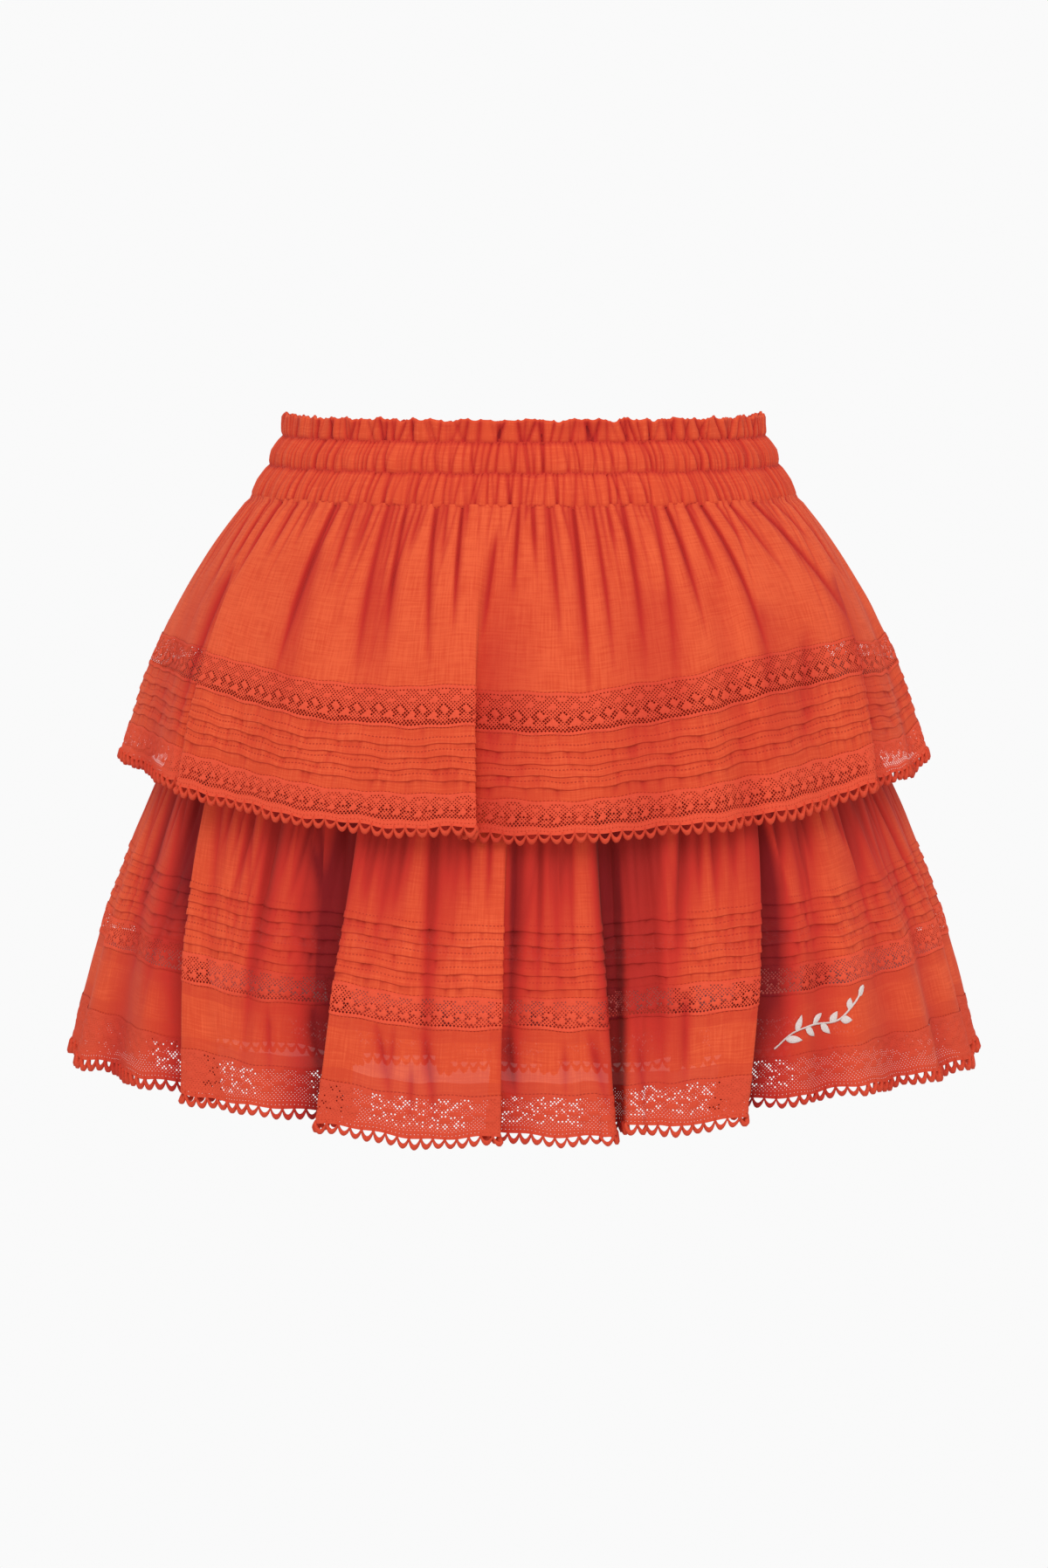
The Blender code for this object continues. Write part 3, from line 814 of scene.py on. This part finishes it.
class Waistband(Tier):
    """The band's own relief: grooves along the stitched lines, and a frill that waves in and out."""

    def relief(self, angle, seam, down, row):
        moved, deep = super().relief(angle, seam, down, row)
        groove = sum(np.exp(-(((down - line) / 0.9) ** 2)) for line in (FRILL_LINE, MIDDLE_LINE, BAND_END))
        moved += 1.0 - 1.1 * groove
        # Each stitched line sinks in as a groove, and the groove also adds painted shade along it
        deep += 0.9 * groove
        ruffled = np.clip(1 - down / FRILL_LINE, 0, 1)
        waving = 0.9 * np.sin(np.radians(seam) * 41 + 2 * np.sin(np.radians(seam) * 7))
        return moved + ruffled * waving, deep

    def surface(self, place, down):
        hung, painted_shade = super().surface(place, down)
        seam = np.radians(self.columns(place)[0])
        ragged = 0.5 * np.sin(seam * 67 + 1.5 * np.sin(seam * 11)) + 0.4 * np.sin(seam * 29 + 1)
        hung[:, 2] += (ragged - 1.2) * np.clip(1 - down / FRILL_LINE, 0, 1)
        return hung, painted_shade


band_strips = [
    Puckers(0.0, FRILL_LINE, 60, uneven_gathers(11, 200, (0.5, 2.4), (0.4, 0.8), slant=6.0)),
    Puckers(FRILL_LINE, MIDDLE_LINE, 90, uneven_gathers(12, 330, (0.4, 1.8), (0.3, 0.5), slant=2.2)),
    Puckers(MIDDLE_LINE, BAND_END, 90, uneven_gathers(13, 340, (0.4, 1.8), (0.3, 0.5), slant=2.2)),
]
band = Waistband(BAND, BACK_DROP, BACK_DROP, strips=band_strips)
band_round = all_round(band, MIDDLE_LINE)
print("round the stitched line:", round(band_round.width), "mm with its pleats")

# %% The waistband
band_lines = (FRILL_LINE, MIDDLE_LINE, BAND_END - 0.6)
# pale=-0.4 paints shade over the whole waistband
band_voile = voile("band_voile", band_lines, through=0.1, clear=0.0, pale=-0.4)
inside = [(down, -BAND_WALL) for down in (BAND_END, 28.0, 14.0, 1.0)]
edge = [(0.3, -BAND_WALL * 0.8), (0.0, -BAND_WALL * 0.5), (0.3, -BAND_WALL * 0.15)]
outside = [
    (down, 0.0)
    for down in (1, 3, 5.5, 8, 10, 11.3, 12, 12.7, 14, 16.5, 19.5, 22.5, 25.2, 26.8, 27.5, 28.2, 29.6)
    + (32.5, 36, 39.5, 42, 43.4, BAND_END)
]
band_columns = 1540  # about one each half millimetre
PLEATS_MEASURED = 34.0  # in the middle of the lower channel, where the pleats take up the most cloth
strip_long = all_round(band, PLEATS_MEASURED).width
waistband = hang(
    "waistband_voile",
    flat_sheet(band_round.width, inside + edge + outside, band_round.width / band_columns),
    band_round,
    band_voile,
    closed=True,
)
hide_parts("waistband")
strip_long * MM

# %% [markdown]
# ## The yoke
#
# A plain tube under the upper tier that carries the lower one. It shows only from below, so it is left as
# two plain pieces of voile.

# %% The yoke
YOKE_LONG = 122.0
YOKE_LIFT = -1.5  # it lies a little inside its solid
# inner paints shade over the yoke, which lies in the shade of the upper tier
yoke_voile = voile("yoke_voile", inner=0.75)
for side in ("front", "back"):
    stretch = half(yoke, side, YOKE_LONG)
    flat = flat_sheet(stretch.width, evenly(0, YOKE_LONG, 6.0), 6.0)
    piece = hang(f"yoke_{side}_voile", flat, stretch, yoke_voile, YOKE_LIFT)
    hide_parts(f"yoke_{side}")
    stretch.width * MM

# %% [markdown]
# ## The tiers' cloth
#
# Each tier is cut as a front and a back. The cloth is made wide and flat with its pin tucks pressed in: a
# tuck is a slow rise to a thin standing edge and a sharp drop behind it. Hung on its tier, the same cloth
# takes the folds, the creases and the gathers at the seam.

# %% Cloth above the lace
TUCK_STAND = 0.5
TUCK_DEEP = 3.2
UPPER_STEP = 0.64
LOWER_STEP = 0.85
TUCK_STITCH = 3.4
SEAM_STITCH = 0.8  # how far from its seam's edge a row of stitches runs
TURNING = 6.8  # the seam allowance behind the hem band
TUCKED_UP = 2.0  # how far the upper tier's cloth runs up behind the waistband


def tuck_stitches(tucks):
    """A row of stitches just above each tuck's fold."""
    return tuple(t - TUCK_STITCH for t in tucks)


# The pale values paint light over the upper tier, and shade over its tuck band, the lower tier and its band
upper_voile = voile("upper_voile", (UPPER_LACE_TOP - SEAM_STITCH,), pale=0.1)
band_rows = (UPPER_LACE_END + SEAM_STITCH, *tuck_stitches(UPPER_TUCKS), UPPER_EDGING_TOP - SEAM_STITCH)
tucked_voile = voile("tuck_band_voile", band_rows, tucks=UPPER_TUCKS, pale=-0.3)
lower_rows = (*tuck_stitches(LOWER_TUCKS), LOWER_LACE_TOP - SEAM_STITCH)
lower_voile = voile("lower_voile", lower_rows, tucks=LOWER_TUCKS, pale=-0.2)
hem_rows = (LOWER_LACE_END + SEAM_STITCH, LOWER_EDGING_TOP - SEAM_STITCH)
turnings = ((LOWER_LACE_END, LOWER_LACE_END + TURNING), (LOWER_EDGING_TOP - TURNING, LOWER_EDGING_TOP))
lower_band_voile = voile("lower_band_voile", hem_rows, turnings, clear=0.045, pale=-0.3)

# Each cloth: its name, tier, top and end, the steps of its columns and rows, its tucks and its finish
CLOTHS = (
    ("upper_tier", upper, -TUCKED_UP, UPPER_LACE_TOP, UPPER_STEP, 3.2, (), upper_voile),
    ("upper_tuck_band", upper, UPPER_LACE_END, UPPER_EDGING_TOP, UPPER_STEP, 2.0, UPPER_TUCKS, tucked_voile),
    ("lower_tier", lower, 0.0, LOWER_LACE_TOP, LOWER_STEP, 4.0, LOWER_TUCKS, lower_voile),
    ("lower_band", lower, LOWER_LACE_END, LOWER_EDGING_TOP, LOWER_STEP, 3.4, (), lower_band_voile),
)
for side in ("front", "back"):
    for cloth, tier, top, end, step, row_step, tucks, finish in CLOTHS:
        node = f"{cloth}_{side}"
        stretch = half(tier, side, end)
        rows = with_tucks(evenly(top, end, row_step), tucks, TUCK_STAND, TUCK_DEEP)
        piece = hang(f"{node}_voile", flat_sheet(stretch.width, rows, step), stretch, finish)
        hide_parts(node)
        stretch.width * MM
        (end - top) * MM

# %% [markdown]
# ## Lace
#
# Lace has a net of small diamond holes, with solid clothwork in it: spots, and leaning leaves with larger
# holes round them. The hem's has its larger holes where it is drawn open instead. At the back, and at the
# upper tier's two corners, the holes are smaller, and the hem's lace is solid at its top.
#
# It is cut for real. A flat grid is poked, which puts a point in each square, and its own lines are
# dissolved, which leaves diamonds. Each diamond is inset and its middle taken out, except where the pattern
# is solid.

# %% The lace pattern
NET_PITCH = 1.9
MOTIF = 11.4  # from spot to spot


class Blob(NamedTuple):
    """A solid patch of clothwork: its place along the motif and down the net, half sizes and turn."""

    along: float
    down: float
    half_length: float
    half_height: float
    turn: float


BLOBS = (
    Blob(0.0, 3.0, 2.4, 1.3, 0),
    Blob(5.7, 6.2, 1.9, 1.2, 0),
    Blob(0.4, 10.6, 2.6, 1.5, 12),
    Blob(5.9, 13.6, 2.7, 1.6, -12),
)
NET_HIGH = 18.0  # the height that the blobs' places are for


def nearness(x, y, b):
    """Below 1 inside a blob, for a place along the lace and down a net of the usual height."""
    along = (x - b.along + MOTIF / 2) % MOTIF - MOTIF / 2
    c, s = math.cos(math.radians(b.turn)), math.sin(math.radians(b.turn))
    across = y - b.down
    return math.hypot((along * c + across * s) / b.half_length, (-along * s + across * c) / b.half_height)


lace_chance = np.random.default_rng(5)
OPEN_SHARE = 0.33  # of the diamonds where a hem's lace is drawn open
FRONT = (0.0, 0.5)  # as shares of the way round, from the left side seam
BETWEEN_CORNERS = (0.09, 0.41)


def pattern(x, y, high, way_round, wide_from, wide_to, open_at):
    """How a diamond is cut at a place along the lace and down a net so high: solid, or one of four holes.

    open_at has the stretches of a hem where its lace is drawn open. It is None for other lace, which has wide
    holes round its leaves and along its edge from wide_from to wide_to, and is closer past them.
    """
    y = y / high * NET_HIGH
    near = [nearness(x, y, b) for b in BLOBS]
    if min(near) < 0.97:
        return "solid"
    if open_at is None:
        holes = ("small", "wide") if wide_from < way_round < wide_to else ("pin", "small")
        return holes[min(near[2:]) < 1.5 or y > NET_HIGH - 1.9]
    if way_round > FRONT[1] and y < 7.0:
        return "solid"
    drawn_open = y > 2.0 and any(start < x < stop for start, stop in open_at)
    return "open" if drawn_open and lace_chance.random() < OPEN_SHARE else "small"


# %% Cutting lace
HEADING = 1.1  # the solid edge at the lace's top
FOOTING = 1.2  # and at its lower end
LACE_LAP = 0.6  # how far lace laps over the cloth that it is sewn to
LACE_LIFT = 0.15
THREAD_HALF = 0.36
WIDE_THREAD_HALF = 0.2
OPEN_THREAD_HALF = 0.31
PIN_THREAD_HALF = 0.5
CLOTHWORK_STAND = 0.3


def lace_net(width, top, end, border, thick, wide, open_at):
    """Flat lace from top to end, its threads that much thicker, with a border of pinholes at its edge."""
    bm = bmesh.new()
    high = end - top
    across, levels = round(width / NET_PITCH), round(high / NET_PITCH)
    bmesh.ops.create_grid(bm, x_segments=across, y_segments=levels, size=0.5)
    for v in bm.verts:
        v.co = ((v.co.x + 0.5) * width, -top - (0.5 - v.co.y) * high, 0)
    inner = [e for e in bm.edges if len(e.link_faces) == 2]
    bmesh.ops.poke(bm, faces=bm.faces[:])
    bmesh.ops.dissolve_edges(bm, edges=inner, use_verts=False)
    cut = {"small": [], "wide": [], "open": [], "pin": [], "solid": []}
    for f in bm.faces:
        middle = f.calc_center_median()
        y = -middle.y - top
        if len(f.verts) < 4 or y < HEADING or y > high - FOOTING:
            kind = "solid"
        elif y > high - border:
            kind = "pin" if round(2 * y / NET_PITCH) % 3 else "solid"
        else:
            kind = pattern(middle.x, y, high - border, middle.x / width, *wide, open_at)
        cut[kind].append(f)
    thicknesses = {
        "small": THREAD_HALF + thick,
        "wide": WIDE_THREAD_HALF,
        "open": OPEN_THREAD_HALF,
        "pin": PIN_THREAD_HALF + 0.2 * thick,
    }
    for kind, thickness in thicknesses.items():
        bmesh.ops.inset_individual(bm, faces=cut[kind], thickness=thickness, use_even_offset=True)
        bmesh.ops.delete(bm, geom=cut[kind], context="FACES_ONLY")
    for v in {v for f in cut["solid"] if len(f.verts) == 4 for v in f.verts}:
        v.co.z = CLOTHWORK_STAND
    return bm


def place_on(stretch, degrees, down):
    """How far along a stretch the cloth lies at that angle round the skirt."""
    x = np.linspace(0, stretch.width, 4001)
    seam, hem = stretch.tier.columns(stretch.place(x))[:2]
    return float(x[np.abs(seam + (hem - seam) * down / stretch.tier.length - degrees).argmin()])


def lace(node, tier, top, end, border, finish, thick=0.0, wide=FRONT, open_at=None):
    """A ring of lace on its tier. open_at has pairs of angles for the front, and the back is the same."""
    stretch = all_round(tier, (top + end) / 2)
    if open_at is not None:
        open_at = [
            (place_on(stretch, start + turn, end), place_on(stretch, stop + turn, end))
            for turn in (0, 180)
            for start, stop in open_at
        ]
    net = lace_net(stretch.width, top, end, border, thick, wide, open_at)
    piece = hang(f"{node}_net", net, stretch, finish, LACE_LIFT, closed=True)
    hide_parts(node)
    return piece, stretch.width


PICOT_HIGH = 4.5
for node, tier, top, end in (
    ("upper_insertion_lace", upper, UPPER_LACE_TOP - LACE_LAP, UPPER_LACE_END + LACE_LAP),
    ("lower_insertion_lace", lower, LOWER_LACE_TOP - LACE_LAP, LOWER_LACE_END + LACE_LAP),
):
    piece, width = lace(node, tier, top, end, 1.0, lace_thread)
    width * MM
    (end - top) * MM

# %% [markdown]
# ## Picot edging
#
# The edging lace ends in a thick twisted thread that swings from point to point and leaves a small loop at
# each swing. It is one cord along the whole hem, with a round section and a sharp turn at each point.

# %% The picot cord
PICOT_PITCH = 6.1
CORD_HALF = 1.45
SWING_STEPS = 9
CORD_SIDES = 6


def picot_cord(width, top, low):
    """The swinging thread, flat, from one end of the lace to the other."""
    bm = bmesh.new()
    swings = round(width / PICOT_PITCH)
    count = swings * SWING_STEPS
    bmesh.ops.create_grid(bm, x_segments=count, y_segments=CORD_SIDES, size=0.5)
    for v in bm.verts:
        t = (v.co.x + 0.5) * swings
        swing = 0.7 * abs(math.sin(math.pi * t)) + 0.3 * (1 - abs(2 * (t % 1) - 1))
        turn = (v.co.y + 0.5) * 2 * math.pi
        heart = 0.06 * math.sin(2 * math.pi * t)
        x = (t - heart) / swings * width
        y = -top - (low - top) * swing
        v.co = (x, y + CORD_HALF * math.sin(turn), CORD_HALF * math.cos(turn))
    bmesh.ops.remove_doubles(bm, verts=bm.verts, dist=0.001)
    bmesh.ops.recalc_face_normals(bm, faces=bm.faces)
    return bm


OPEN_HEM = ((-54, -45), (-42, -34), (-28, -22), (-18.5, -6.0), (-4.0, 7.0), (12.5, 24.0), (27.0, 35.0))
# Each edging: its node, tier, seam and hem, its border, its thread, and where it is wide and drawn open
EDGINGS = (
    ("upper_edging_lace", upper, UPPER_EDGING_TOP, UPPER_HEM, 4.4, lace_thread, 0.02, BETWEEN_CORNERS, None),
    ("lower_edging_lace", lower, LOWER_EDGING_TOP, LOWER_HEM, 5.4, hem_thread, 0.18, FRONT, OPEN_HEM),
)
for node, tier, seam, hem, border, finish, thick, wide, open_at in EDGINGS:
    top, end = seam - LACE_LAP, hem - PICOT_HIGH
    piece, width = lace(node, tier, top, end, border, finish, thick, wide, open_at)
    stretch = all_round(tier, hem - 1)
    cord = hang(
        f"{node}_picots",
        picot_cord(stretch.width, end - 0.2, hem + 0.8 - CORD_HALF),
        stretch,
        picot_thread,
        LACE_LIFT,
    )
    width * MM
    (end - top) * MM

# %% [markdown]
# ## A small embroidered sprig
#
# Near the wearer's left side the hem band has a little embroidery in off-white thread: a stem in stem
# stitch with satin-stitch leaves. It is worked flat, on the band's own flat places, and hung with it.

# %% Where the sprig lies
SPRIG_ANGLE = 34.5  # where it starts, round the skirt
SPRIG_DOWN = 160.5
SPRIG_LONG = 56.0
STEM_HALF = 0.55
LEAF_HALF = 1.9


def stem(t):
    """The stem's line from its foot to its tip, along and up in millimetres."""
    return SPRIG_LONG * t, -9.0 + 19.0 * t + 3.8 * math.sin(2.2 * math.pi * t)


def along_stem(t):
    """A place on the stem and the direction it grows in, in radians."""
    (x, y), (ahead_x, ahead_y) = stem(t), stem(t + 0.01)
    return x, y, math.atan2(ahead_y - y, ahead_x - x)


# %% The stem and its leaves
sprig_form = bmesh.new()
bmesh.ops.create_grid(sprig_form, x_segments=90, y_segments=6, size=0.5)
for v in sprig_form.verts:
    t = v.co.x + 0.5
    x, y, turn = along_stem(t)
    round_it = (v.co.y + 0.5) * 2 * math.pi
    thick = STEM_HALF * (0.8 + 0.25 * abs(math.sin(math.pi * 26 * t)))
    off = thick * math.sin(round_it)
    v.co = (x - off * math.sin(turn), y + off * math.cos(turn), thick * math.cos(round_it))

LEAVES = [(0.1 + 0.105 * k, (1 if k % 2 else -1) * (0.85 - 0.03 * k), 9.8 - 0.45 * k) for k in range(8)]
LEAVES.append((0.985, 0.0, 7.2))
for t, spread, length in LEAVES:
    x, y, turn = along_stem(t)
    turn += spread
    leaf = bmesh.ops.create_grid(sprig_form, x_segments=18, y_segments=6, size=0.5)
    for v in leaf["verts"]:
        out, side = v.co.x + 0.5, 2 * v.co.y
        half_wide = LEAF_HALF * abs(math.sin(math.pi * out)) ** 0.75 * (1.25 - 0.5 * out)
        rib = 0.1 * math.sin(math.pi * 10 * out + 2.0 * abs(side))
        bulge = 0.75 * (1 - side * side) * (1 - (2 * out - 1) ** 4)
        stand = bulge - 0.35 * math.exp(-((side / 0.18) ** 2)) + rib
        along, across = out * length, half_wide * side
        v.co = (
            x + along * math.cos(turn) - across * math.sin(turn),
            y + along * math.sin(turn) + across * math.cos(turn),
            stand,
        )
band_front = half(lower, "front", LOWER_EDGING_TOP)
start = place_on(band_front, SPRIG_ANGLE, SPRIG_DOWN)
bmesh.ops.translate(sprig_form, verts=sprig_form.verts, vec=(start, -SPRIG_DOWN, 0))
sprig_thread = thread("sprig_thread", LIT_SPRIG, DEEP_SPRIG, 0.05, 0.9, False)
sprig = hang("hem_sprig", sprig_form, band_front, sprig_thread, 0.35)
print("the sprig starts", round(start), "mm along the band")

# %% [markdown]
# ## The stage
#
# The skirt hangs in the air over a plain pale floor, in a white studio. A large soft lamp stands in front of
# it and above, and the white room fills in the rest.

# %% Floor, lamp, room and camera
WHITE = (0.955, 0.955, 0.955, 1.0)
FLOOR_Z = -1.6
floor_mesh = bpy.data.meshes.new("floor")
floor_form = bmesh.new()
bmesh.ops.create_grid(floor_form, x_segments=1, y_segments=1, size=40)
for v in floor_form.verts:
    v.co.z = FLOOR_Z
floor_form.to_mesh(floor_mesh)
floor_form.free()
floor = bpy.data.objects.new("floor", floor_mesh)
bpy.context.collection.objects.link(floor)
pale = Finish(bpy.data.materials.new("pale_floor"))
floor_mesh.materials.append(pale.close(pale.node("ShaderNodeEmission", {"Color": WHITE})))
for kind in ("diffuse", "glossy", "transmission", "shadow", "volume_scatter"):
    setattr(floor, f"visible_{kind}", False)


def stood(name, data, place, towards):
    """A lamp or a camera at a place, turned towards another."""
    made = bpy.data.objects.new(name, data)
    made.location = place
    made.rotation_euler = (Vector(towards) - Vector(place)).to_track_quat("-Z", "Y").to_euler()
    bpy.context.collection.objects.link(made)
    return made


key = bpy.data.lights.new("key_lamp", "AREA")
key.shape, key.size, key.energy = "SQUARE", 2.4, 58.0
stood("key_lamp", key, (0.1, -2.6, 2.2), (0, 0, -0.15))

room = Finish(bpy.data.worlds.new("white_room"))
seen = room.node("ShaderNodeBackground", {"Color": WHITE})
lighting = room.node("ShaderNodeBackground", {"Color": (1, 1, 1, 1), "Strength": 0.7})
by_camera = room.node("ShaderNodeLightPath", output="Is Camera Ray")
either = room.node("ShaderNodeMixShader", {0: by_camera, 1: lighting, 2: seen})
bpy.context.scene.world = room.close(either, "ShaderNodeOutputWorld")
bpy.context.scene.view_settings.view_transform = "Standard"

eye = bpy.data.cameras.new("camera")
eye.lens = 88
bpy.context.scene.camera = stood("camera", eye, (0, -2.04, 0.102), (0, 0, -0.1715))
